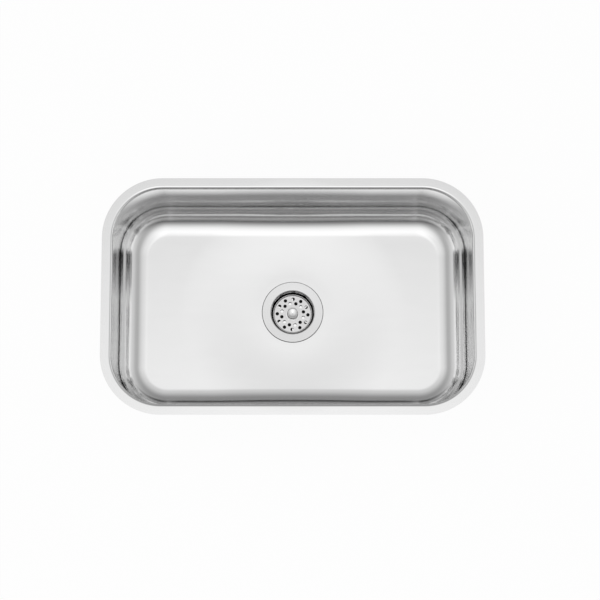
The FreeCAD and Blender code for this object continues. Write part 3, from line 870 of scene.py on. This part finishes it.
@dataclass
class Bowl:
    """Pressed bowl with flange, lip, floor round and strainer seat."""

    length: float = 552.8
    depth: float = 332.6
    corner: float = 76.0
    flange: float = 17.1
    lip: float = 5.0
    lip_steps: int = 10
    height: float = 170.0
    floor_round: float = 42.0
    floor_steps: int = 30
    gauge: float = 1.0
    seat_drop: float = 1.5
    seat_ramp: float = 0.5
    seat_edge: float = 0.2
    seat_lap: float = 6.0
    seat: float = 49.2
    hole: float = 38.6
    floor_band: float = 8.0
    corner_steps: int = 40

    def build(self) -> None:
        """Model the pressing from one plane."""
        bench = Bench("bowl_pressing")
        bpy.ops.mesh.primitive_plane_add(size=1.0)
        bench.piece.scale = ((self.length + 2 * self.flange) * MM,
                             (self.depth + 2 * self.flange) * MM, 1.0)
        bench.started()
        bpy.ops.mesh.select_all(action="SELECT")
        bench.bevel(self.corner + self.flange, self.corner_steps, "VERTICES")
        self._press(bench)
        self._pierce(bench)
        bench.modify("SOLIDIFY", thickness=self.gauge * MM, offset=-1.0, use_even_offset=True,
                     use_quality_normals=True)
        bowl = bench.finished(BOWL_STEEL, "sink", ["sink_bowl"], "bowl_steel")
        # outside faces get the duller finish, whose darker colour is painted shade
        bowl.data.materials.append(BOWL_UNDERSIDE_DULL_AND_SHADED.material())
        for face in bowl.data.polygons:
            face.material_index = int(self._is_underside(face))

    def _is_underside(self, face: bpy.types.MeshPolygon) -> bool:
        """Whether a face takes the sheet's other side: its duller, rougher mill finish is real,
        its darker colour is painted shade.
        """
        if face.center.z > -self.lip * MM:
            return face.normal.z < -0.5
        return face.normal.dot(face.center + Vector((0, 0, self.height * MM / 3))) > 0

    def _press(self, bench: Bench) -> None:
        """Draw the bowl down from the flange and round its edges.

        Args:
            bench: bench with the rounded blank.
        """
        half_x, half_y = self.length / 2, self.depth / 2
        bench.select("FACE", lambda face, _: True)
        bench.inset(self.flange)
        bench.select("FACE", lambda face, corners: face.area > LARGE_FACE
                     and max(p.x for p in corners) < half_x + CLOSE)
        bench.extrude(-self.height)
        bench.select("EDGE", lambda _, ends: all_level(ends, -self.height, CLOSE))
        bench.bevel(self.floor_round, self.floor_steps)
        bench.select("EDGE", lambda _, ends: all_level(ends, 0.0, CLOSE) and all(
            off_outline(p.x, p.y, half_x, half_y, self.corner) < CLOSE for p in ends))
        bench.bevel(self.lip, self.lip_steps)

    def _pierce(self, bench: Bench) -> None:
        """Open the floor and form the strainer's seat in it.

        Args:
            bench: bench with the drawn bowl.
        """
        floor, ramp = -self.height, self.seat + self.seat_ramp
        lap = ramp + self.seat_lap
        bench.select("FACE", lambda face, corners: face.area > LARGE_FACE
                     and all_level(corners, floor))
        bench.inset(self.floor_band)
        bpy.ops.mesh.delete(type="ONLY_FACE")
        bpy.ops.mesh.primitive_circle_add(vertices=Lathe.steps, radius=lap * MM,
                                          location=(0, 0, floor * MM))
        bench.select("EDGE", lambda _, ends: all_level(ends, floor)
                     and self._on_border(ends, lap))
        bpy.ops.mesh.fill(use_beauty=True)
        bench.select("FACE", lambda face, corners: all_level(corners, floor)
                     and face.normal.z < 0)
        bpy.ops.mesh.flip_normals()
        bench.select_ring(lap, floor)
        bench.pull_ring(lap, ramp, 0.0)
        bench.pull_ring(ramp, self.seat, -self.seat_drop)
        bench.pull_ring(self.seat, self.hole, 0.0)
        for radius, height in ((ramp, floor), (self.seat, floor - self.seat_drop)):
            bench.select_ring(radius, height)
            bench.bevel(self.seat_edge, 3)
        bench.select("FACE", lambda face, corners: face.normal.z < 0 and all(
            math.hypot(p.x, p.y) < lap + CLOSE for p in corners))
        bpy.ops.mesh.flip_normals()

    def _on_border(self, ends: Sequence[Vector], lap: float) -> bool:
        """Whether an edge bounds the open part of the floor.

        Args:
            ends: the edge's two ends.
            lap: radius of the seat's ring.

        Returns:
            True on the outer border or on the ring.
        """
        band = self.floor_round + self.floor_band
        half_x, half_y = self.length / 2 - band, self.depth / 2 - band
        ends_off, middle_off = (
            max(off_outline(p.x, p.y, half_x, half_y, self.corner - band) for p in places)
            for places in (ends, [(ends[0] + ends[1]) / 2]))
        on_ring = all(abs(math.hypot(p.x, p.y) - lap) < NEAR for p in ends)
        return on_ring or (ends_off < CLOSE / 2 and middle_off < CLOSE * 2)


@dataclass
class Pads:
    """Sound-deadening pads glued to the outside of the bowl."""

    nodes: tuple = ("right_pad", "left_pad", "back_pad", "front_pad", "bottom_pad_right",
                    "bottom_pad_left")
    corner: float = 12.0
    corner_steps: int = 8
    border: float = 6.0
    step_width: float = 1.0
    step: float = 0.5
    edge: float = 0.5
    facing: float = 0.99

    def build(self) -> None:
        """Model every pad over its CAD node."""
        for node in self.nodes:
            self._pad(node)

    def _pad(self, node: str) -> None:
        """Model one pad with rounded corners and a sunken field.

        Args:
            node: CAD node that it stands for.
        """
        low, high = (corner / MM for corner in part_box(node))
        middle, size = (low + high) / 2, high - low
        thin = min(range(3), key=lambda axis: size[axis])
        out = Vector((0, 0, 0))
        out[thin] = 1.0 if middle[thin] > 0 else -1.0
        bench = Bench(f"{node}_sheet")
        bpy.ops.mesh.primitive_cube_add(size=1.0, location=middle * MM, scale=size * MM)
        bench.started()
        bench.select("EDGE", lambda _, ends: abs((ends[0] - ends[1])[thin]) > CLOSE)
        bench.bevel(self.corner, self.corner_steps)
        bench.select("FACE", lambda face, _: face.normal.dot(out) > self.facing)
        bench.inset(self.border)
        bench.inset(self.step_width, -self.step)
        limit = (high if out[thin] > 0 else low)[thin]
        bench.select("EDGE", lambda _, ends: all(abs(p[thin] - limit) < NEAR for p in ends)
                     and self._outline(ends, middle, size, thin))
        bench.bevel(self.edge, 3)
        bench.finished(PAD_SHEET, "sink", [node], "deadening_pad")

    def _outline(self, ends: Sequence[Vector], middle: Vector, size: Vector, thin: int) -> bool:
        """Whether an edge lies on the outer outline of a pad's face.

        Args:
            ends: the edge's two ends.
            middle: centre of the pad.
            size: size of the pad.
            thin: axis of its thickness.

        Returns:
            True on the outline.
        """
        first, second = (axis for axis in range(3) if axis != thin)

        def off(place: Vector) -> float:
            """Distance from the outline in millimetres."""
            across = place - middle
            return off_outline(across[first], across[second], size[first] / 2, size[second] / 2,
                               self.corner)

        return all(off(p) < CLOSE for p in ends) and off((ends[0] + ends[1]) / 2) < CLOSE * 5


# ---------------------------------------------------------------- strainer

@dataclass
class Strainer:
    """Flanged cup with its seals, nuts and outlet."""

    flange_top: float = -168.4
    flange: float = 49.0
    flange_edge: float = 0.4
    flange_under: float = -170.0
    dip: float = 0.3
    outer: float = 37.6
    thread_top: float = -177.0
    thread_pitch: float = 2.2
    thread_depth: float = 0.8
    mouth: float = 34.9
    mouth_round: float = 1.8
    mouth_steps: int = 8
    bore: float = 34.4
    step_top: float = -180.4
    step_bottom: float = -181.8
    step_round: float = 0.2
    seat: float = -201.7
    seat_round: float = 1.0
    wall: float = 2.0
    throat: float = 25.0
    throat_floor: float = -209.9
    throat_round: float = 0.8
    outlet: float = 19.0
    spud: float = 23.0
    spud_neck: float = 4.0
    spud_bottom: float = -225.9
    spud_pitch: float = 2.0
    spud_depth: float = 0.7
    rings: tuple = (
        ("flange_seal_ring", "flange_seal", 38.0, 47.0, SEAL_RUBBER, "seal_rubber", 0.5),
        ("lower_gasket_ring", "lower_gasket", 38.0, 47.0, SEAL_RUBBER, "seal_rubber", 0.9),
        ("friction_ring_board", "friction_ring", 38.0, 47.0, FRICTION_FIBRE, "friction_fibre",
         0.15),
        ("tailpiece_washer_ring", "tailpiece_washer", 19.0, 22.4, WASHER_PLASTIC,
         "washer_plastic", 0.4),
    )
    nut_steps: int = 144
    locknut_bore: float = 37.65
    locknut_side: float = 46.0
    locknut_skirt: float = 42.0
    locknut_recess: float = 2.0
    locknut_edge: float = 0.7
    lugs: int = 6
    lug_half_angle: float = 5.1
    lug_reach: float = 7.0
    slip_bore: float = 23.05
    slip_side: float = 26.55
    slip_chamfer: float = 1.25
    slip_hole: float = 19.7
    slip_lip: float = 3.0
    slip_edge: float = 0.5
    ribs: int = 8
    rib_half_angle: float = 6.4
    rib_reach: float = 2.5
    tube: float = 19.05
    tube_bore: float = 17.85
    tube_neck: float = 19.3
    tube_neck_length: float = 4.0
    tube_neck_end: float = 4.4
    tube_flange: float = 22.4
    tube_flange_thickness: float = 1.2
    tube_rounds: tuple = (0.4, 0.3, 1.0, 0.3, 0.3)

    def build(self) -> None:
        """Model the fixed pieces of the strainer."""
        self._cup()
        for ring in self.rings:
            self._ring(*ring)
        self._locknut()
        self._slip_nut()
        self._tailpiece()

    def _cup(self) -> None:
        """Turn the cup with its threads."""
        shoulder = self.seat - self.wall
        thread = threaded(self.outer, self.thread_top, shoulder, self.thread_pitch,
                          self.thread_depth)
        spud_thread = threaded(self.spud, self.throat_floor - self.spud_neck, self.spud_bottom,
                               self.spud_pitch, self.spud_depth)
        lathe = Lathe("strainer_cup_turning").turn([
            (self.mouth, self.flange_top - self.dip),
            (self.flange, self.flange_top),
            (self.flange, self.flange_under),
            (self.outer, self.flange_under),
            *thread,
            (self.throat + self.wall, shoulder),
            (self.throat + self.wall, self.throat_floor - self.wall),
            (self.spud, self.throat_floor - self.wall),
            *spud_thread,
            (self.outlet, self.spud_bottom),
            (self.outlet, self.throat_floor),
            (self.throat, self.throat_floor),
            (self.throat, self.seat),
            (self.bore, self.seat),
            (self.bore, self.step_bottom),
            (self.mouth, self.step_top),
        ])
        lathe.rounded(self.mouth, self.flange_top - self.dip, self.mouth_round,
                      self.mouth_steps)
        lathe.rounded(self.flange, self.flange_top, self.flange_edge, 4)
        lathe.rounded(self.mouth, self.step_top, self.step_round)
        lathe.rounded(self.bore, self.step_bottom, self.step_round)
        lathe.rounded(self.bore, self.seat, self.seat_round, 4)
        lathe.rounded(self.throat, self.seat, self.throat_round, 4)
        lathe.finished(STRAINER_STEEL, "sink", ["strainer_cup"], "strainer_steel")

    def _ring(self, name: str, node: str, inner: float, outer: float, finish: Finish, slot: str,
              edge: float) -> None:
        """Turn a flat ring with soft edges.

        Args:
            name: name of the piece.
            node: CAD node that it stands for, which gives its heights.
            inner: radius of its hole in millimetres.
            outer: outer radius.
            finish: surface finish.
            slot: material slot.
            edge: round of its edges.
        """
        bottom, top = (corner.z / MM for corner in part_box(node))
        lathe = Lathe(name).turn([(inner, top), (outer, top), (outer, bottom), (inner, bottom)])
        for radius in (inner, outer):
            lathe.rounded(radius, top, edge, 4).rounded(radius, bottom, edge, 4)
        lathe.finished(finish, "sink", [node], slot)

    def _ribs(self, lathe: Lathe, radius: float, count: int, half_angle: float,
              reach: float) -> None:
        """Pull ribs out of a nut's side.

        Args:
            lathe: lathe with the nut.
            radius: radius of the side in millimetres.
            count: number of ribs.
            half_angle: half width of a rib in degrees.
            reach: how far they stand out.
        """
        pitch = FULL_TURN / count

        def on_rib(_: object, corners: Sequence[Vector]) -> bool:
            """Whether a face of the side belongs to a rib."""
            middle = sum(corners, Vector()) / len(corners)
            turn = math.degrees(math.atan2(middle.y, middle.x)) % pitch
            near = min(turn, pitch - turn) < half_angle
            return near and all(abs(math.hypot(p.x, p.y) - radius) < CLOSE / 2
                                for p in corners)

        lathe.select("FACE", on_rib)
        shrink = {"value": -reach * MM, "use_even_offset": True}
        bpy.ops.mesh.extrude_region_shrink_fatten(TRANSFORM_OT_shrink_fatten=shrink)

    def _locknut(self) -> None:
        """Turn the locknut and pull its six lugs."""
        bottom, top = (corner.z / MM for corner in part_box("locknut"))
        lathe = Lathe("locknut_moulding")
        lathe.steps = self.nut_steps
        recess = bottom + self.locknut_recess
        lathe.turn([(self.locknut_bore, top), (self.locknut_side, top),
                    (self.locknut_side, bottom), (self.locknut_skirt, bottom),
                    (self.locknut_skirt - 1.0, recess), (self.locknut_bore, recess)])
        self._ribs(lathe, self.locknut_side, self.lugs, self.lug_half_angle, self.lug_reach)
        lathe.soften(self.locknut_edge)
        lathe.finished(NUT_PLASTIC, "sink", ["locknut"], "nut_plastic")

    def _slip_nut(self) -> None:
        """Turn the slip nut and pull its eight ribs."""
        bottom, top = (corner.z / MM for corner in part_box("slip_nut"))
        lathe = Lathe("slip_nut_moulding")
        lathe.steps = self.nut_steps
        lip = bottom + self.slip_lip
        lathe.turn([(self.slip_bore, top), (self.slip_side, top),
                    (self.slip_side, bottom + self.slip_lip / 2),
                    (self.slip_side - self.slip_chamfer, bottom),
                    (self.slip_hole, bottom), (self.slip_hole, lip), (self.slip_bore, lip)])
        self._ribs(lathe, self.slip_side, self.ribs, self.rib_half_angle, self.rib_reach)
        lathe.soften(self.slip_edge)
        lathe.finished(NUT_PLASTIC, "sink", ["slip_nut"], "nut_plastic")

    def _tailpiece(self) -> None:
        """Turn the outlet tube."""
        bottom, top = (corner.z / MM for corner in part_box("tailpiece"))
        under = top - self.tube_flange_thickness
        lathe = Lathe("tailpiece_tube").turn([
            (self.tube_bore, top), (self.tube_flange, top), (self.tube_flange, under),
            (self.tube_neck, under), (self.tube_neck, under - self.tube_neck_length),
            (self.tube, under - self.tube_neck_end), (self.tube, bottom),
            (self.tube_bore, bottom)])
        places = ((self.tube_flange, top), (self.tube_flange, under), (self.tube_bore, top),
                  (self.tube, bottom), (self.tube_bore, bottom))
        for (radius, height), size in zip(places, self.tube_rounds):
            lathe.rounded(radius, height, size)
        lathe.finished(TAIL_CHROME, "sink", ["tailpiece"], "tail_chrome")


# ---------------------------------------------------------------- basket

@dataclass
class Basket:
    """Lift-out basket: dish, spider, stopper and the knob on their post."""

    plate_top: float = -192.0
    gauge: float = 0.9
    radius: float = 31.8
    rim: float = 5.0
    bend: float = 2.6
    bend_steps: int = 8
    rim_edge: float = 0.35
    bore: float = 3.02
    hole: float = 2.75
    hole_steps: int = 40
    hole_edge: float = 0.2
    rings: tuple = ((25.0, -2.0), (18.1, 13.0))
    holes_in_ring: int = 12
    punch: float = 6.0
    stopper_radius: float = 33.4
    stopper_rounds: tuple = (0.8, 1.2)
    collar: float = 11.2
    collar_round: float = 0.4
    knob: float = 9.5
    neck: float = 6.5
    foot: float = 2.0
    foot_round: float = 0.8
    neck_round: float = 0.5
    post_under: float = 2.0
    knob_top: float = -182.0
    knob_round: float = 1.3
    knob_steps: int = 5
    shoulder: float = 2.4
    dish_radius: float = 7.8
    dish_depth: float = 1.6
    dish_steps: int = 14
    dish_edge: float = 0.35
    dimple: float = 1.1
    dimple_floor: float = 0.495
    dimple_depth: float = 0.3

    def build(self) -> None:
        """Model the pieces that lift out."""
        self._dish()
        self._stopper()
        self._collar()
        self._knob()

    def _cutters(self) -> bpy.types.Object:
        """Round punches for the holes of the dish, as one mesh.

        Returns:
            The punches.
        """
        bench = Bench("punches")
        for ring, start in self.rings:
            for step in range(self.holes_in_ring):
                turn = math.radians(start + FULL_TURN / self.holes_in_ring * step)
                place = Vector((ring * math.cos(turn), ring * math.sin(turn), self.plate_top))
                bpy.ops.mesh.primitive_cylinder_add(
                    vertices=self.hole_steps, radius=self.hole * MM, depth=self.punch * MM,
                    location=place * MM)
                if bpy.context.mode == "OBJECT":
                    bench.started()
        bpy.ops.object.mode_set(mode="OBJECT")
        return bench.piece

    def _dish(self) -> None:
        """Turn the dish, punch its holes and round their edges."""
        punches = self._cutters()
        under = self.plate_top - self.gauge
        inside = self.radius - self.gauge
        top = self.plate_top + self.rim
        lathe = Lathe("basket_dish_pressing").turn([
            (self.bore, under), (self.radius, under), (self.radius, top), (inside, top),
            (inside, self.plate_top), (self.bore, self.plate_top)])
        lathe.rounded(self.radius, under, self.bend, self.bend_steps)
        lathe.rounded(inside, self.plate_top, self.bend - self.gauge, self.bend_steps)
        lathe.rounded(self.radius, top, self.rim_edge).rounded(inside, top, self.rim_edge)
        lathe.modify("BOOLEAN", object=punches, operation="DIFFERENCE", solver="EXACT")
        sheet = (self.plate_top + under) / 2
        lathe.select("EDGE", lambda _, ends: abs(ends[0].z - ends[1].z) < NEAR
                     and abs(ends[0].z - sheet) < self.gauge / 2 + CLOSE / 2
                     and all(self._on_hole(p) for p in ends))
        lathe.bevel(self.hole_edge, 2)
        bpy.data.objects.remove(punches)
        lathe.finished(BASKET_STEEL, "basket", ["basket_dish"], "basket_steel")

    def _on_hole(self, place: Vector) -> bool:
        """Whether a place lies on the edge of one of the holes."""
        for ring, start in self.rings:
            turn = math.degrees(math.atan2(place.y, place.x)) - start
            pitch = FULL_TURN / self.holes_in_ring
            nearest = math.radians(start + round(turn / pitch) * pitch)
            centre = Vector((ring * math.cos(nearest), ring * math.sin(nearest), place.z))
            if abs((place - centre).length - self.hole) < NEAR * 3:
                return True
        return False

    def _stopper(self) -> None:
        """Turn the rubber disc with a soft edge."""
        bottom, top = (corner.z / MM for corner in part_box("stopper"))
        lathe = Lathe("stopper_disc").turn([
            (self.bore, top), (self.stopper_radius, top), (self.stopper_radius, bottom),
            (self.bore, bottom)])
        for height, size in zip((top, bottom), self.stopper_rounds):
            lathe.rounded(self.stopper_radius, height, size, 4)
        lathe.finished(STOPPER_RUBBER, "basket", ["stopper"], "stopper_rubber")

    def _collar(self) -> None:
        """Turn the bright collar under the knob."""
        bottom, top = (corner.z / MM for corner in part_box("knob_collar"))
        lathe = Lathe("knob_collar_turning").turn([
            (self.bore, top), (self.collar, top), (self.collar, bottom), (self.bore, bottom)])
        lathe.rounded(self.collar, top, self.collar_round, self.knob_steps)
        lathe.finished(KNOB_CHROME, "basket_stem", ["knob_collar"], "knob_chrome")

    def _knob(self) -> None:
        """Turn the knob with the shallow dish in its top and the small dimple in the dish."""
        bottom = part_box("knob")[0].z / MM
        foot, side_top = bottom + self.foot, self.knob_top - self.shoulder
        curve = (self.dish_radius ** 2 + self.dish_depth ** 2) / (2 * self.dish_depth)
        centre = self.knob_top - self.dish_depth + curve
        edge, middle = math.asin(self.dish_radius / curve), math.asin(self.dimple / curve)
        dish = [(curve * math.sin(turn), centre - curve * math.cos(turn))
                for turn in (edge + (middle - edge) * step / self.dish_steps
                             for step in range(self.dish_steps + 1))]
        lowest = dish[-1][1] - self.dimple_depth
        lathe = Lathe("knob_turning").turn([
            (self.bore, self.knob_top - self.post_under), (self.bore, bottom),
            (self.neck, bottom), (self.neck, foot), (self.knob, foot), (self.knob, side_top),
            *dish, (self.dimple_floor, lowest + self.dimple_depth / 10), (0.0, lowest)],
            closed=False)
        lathe.rounded(self.knob, side_top, self.knob_round, self.knob_steps)
        lathe.rounded(self.dish_radius, self.knob_top, self.dish_edge)
        lathe.rounded(self.knob, foot, self.foot_round, 4)
        lathe.rounded(self.neck, foot, self.neck_round)
        lathe.finished(KNOB_CHROME, "basket_stem", ["knob"], "knob_chrome")


@dataclass
class CarriedPieces:
    """CAD nodes that keep their own shape and get a finish."""

    finishes: dict = field(default_factory=lambda: {
        "cross_bars": STRAINER_STEEL,
        "centre_socket": SOCKET_PLASTIC,
        "post": POST_BRASS,
        "post_nut": POST_BRASS,
        "basket_spider": SPIDER_CHROME,
        "stopper_washer": BASKET_STEEL,
        "spring_clip": CLIP_WIRE,
    })

    def dress(self) -> None:
        """Give each node its material."""
        for node, finish in self.finishes.items():
            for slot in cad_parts[node].material_slots:
                slot.material = finish.material()
            log.info("%s: %s", node, finish.name)


# ---------------------------------------------------------------- studio

@dataclass
class Studio:
    """Camera, light and floor."""

    tilt: float = 9.6
    place: tuple = (0.0, -0.4603, 2.7984)
    lens: float = 111.2
    sensor: float = 36.0
    shift: tuple = (0.0123, -0.022)
    floor_size: float = 16.0
    floor_gap: float = 0.001
    floor_paper: float = 0.9
    floor_glow: float = 0.95
    lamp_place: tuple = (-0.6, -0.8, 3.4)
    lamp_turn: tuple = (13.0, -10.0, 0.0)
    lamp_size: float = 2.5
    lamp_power: float = 42.0
    front: tuple = ((0, 0.54), (15, 0.24), (25, 0.0), (33, 0.21), (42, 0.43), (52, 0.77),
                    (62, 1.02), (74, 1.16), (82, 1.2), (90, 1.18))
    back: tuple = ((0, 0.57), (15, 0.45), (25, 0.28), (35, 0.27), (45, 0.3), (55, 0.45),
                   (65, 0.62), (73, 0.68), (79, 0.89), (84, 1.01), (90, 1.18))
    sides: tuple = ((0, 1.09), (12, 1.17), (20, 0.73), (30, 0.66), (40, 0.5), (50, 0.47),
                    (60, 0.68), (72, 0.87), (82, 0.92), (90, 1.18))

    def build(self) -> None:
        """Set up camera, sky, floor and lamp."""
        self._camera()
        self._sky()
        self._floor()
        self._lamp()
        bpy.context.scene.view_settings.view_transform = "Standard"

    def _camera(self) -> None:
        """Long lens above the front of the bowl."""
        data = bpy.data.cameras.new("camera")
        data.lens = self.lens
        data.sensor_width = self.sensor
        data.shift_x, data.shift_y = self.shift
        camera = bpy.data.objects.new("camera", data)
        camera.location = self.place
        camera.rotation_euler = (math.radians(self.tilt), 0.0, 0.0)
        bpy.context.scene.collection.objects.link(camera)
        bpy.context.scene.camera = camera

    def _sky(self) -> None:
        """Soft surroundings: white overhead, grey towards the horizon."""
        world = bpy.data.worlds.new("studio")
        world.use_nodes = True
        bpy.context.scene.world = world
        graph = Graph(world.node_tree)
        x, y, z = graph.place("Generated")
        height = z.degrees_up()
        overhead = 1e-6  # keeps the quotient finite where x and y are 0
        across = x * x / (x * x + y * y + overhead)
        along = height.ramp(self.back).mixed(height.ramp(self.front), y.is_above(0.0))
        light = height.ramp(self.sides).mixed(along, across)
        grey = graph.add("ShaderNodeCombineXYZ", {}, {0: light, 1: light, 2: light})
        sky = graph.add("ShaderNodeBackground", {}, {"Color": grey.outputs[0]})
        white = graph.add("ShaderNodeBackground", {}, {"Color": (1.0, 1.0, 1.0, 1.0)})
        seen = graph.add("ShaderNodeLightPath", {}, {})
        mixed = graph.add("ShaderNodeMixShader", {}, {
            0: seen.outputs["Is Camera Ray"], 1: sky.outputs[0], 2: white.outputs[0]})
        graph.add("ShaderNodeOutputWorld", {}, {"Surface": mixed.outputs[0]})

    def _floor(self) -> None:
        """Plain white floor under the object."""
        bench = Bench("floor")
        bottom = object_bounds()[0].z
        bpy.ops.mesh.primitive_plane_add(size=self.floor_size,
                                         location=(0, 0, bottom - self.floor_gap))
        floor = bench.piece
        floor.name = "floor"
        material = bpy.data.materials.new("floor_white")
        material.use_nodes = True
        graph = Graph(material.node_tree)
        paper = graph.add("ShaderNodeBsdfDiffuse", {}, {
            "Color": (*(self.floor_paper,) * 3, 1.0)})
        glow = graph.add("ShaderNodeEmission", {}, {"Color": (1.0, 1.0, 1.0, 1.0),
                                                    "Strength": 1.0})
        path = graph.add("ShaderNodeLightPath", {}, {})
        seen = (Value(graph, path.outputs["Is Camera Ray"])
                .at_least(Value(graph, path.outputs["Is Glossy Ray"]))
                .at_least(Value(graph, path.outputs["Is Transmission Ray"])))
        mixed = graph.add("ShaderNodeMixShader", {}, {
            0: seen * self.floor_glow, 1: paper.outputs[0], 2: glow.outputs[0]})
        graph.add("ShaderNodeOutputMaterial", {}, {"Surface": mixed.outputs[0]})
        floor.data.materials.append(material)
        floor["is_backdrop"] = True

    def _lamp(self) -> None:
        """Large soft lamp overhead, for the matt pieces and the floor's shadow."""
        data = bpy.data.lights.new("overhead", "AREA")
        data.shape = "SQUARE"
        data.size = self.lamp_size
        data.energy = self.lamp_power
        lamp = bpy.data.objects.new("overhead", data)
        lamp.location = self.lamp_place
        lamp.rotation_euler = [math.radians(turn) for turn in self.lamp_turn]
        lamp.visible_glossy = False
        bpy.context.scene.collection.objects.link(lamp)


def main() -> None:
    """Build the studio and every piece in order."""
    logging.basicConfig(level=logging.INFO, format="%(name)s: %(message)s")
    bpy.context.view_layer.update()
    Studio().build()
    Bowl().build()
    Pads().build()
    Strainer().build()
    Basket().build()
    CarriedPieces().dress()


if __name__ == "__main__":
    main()
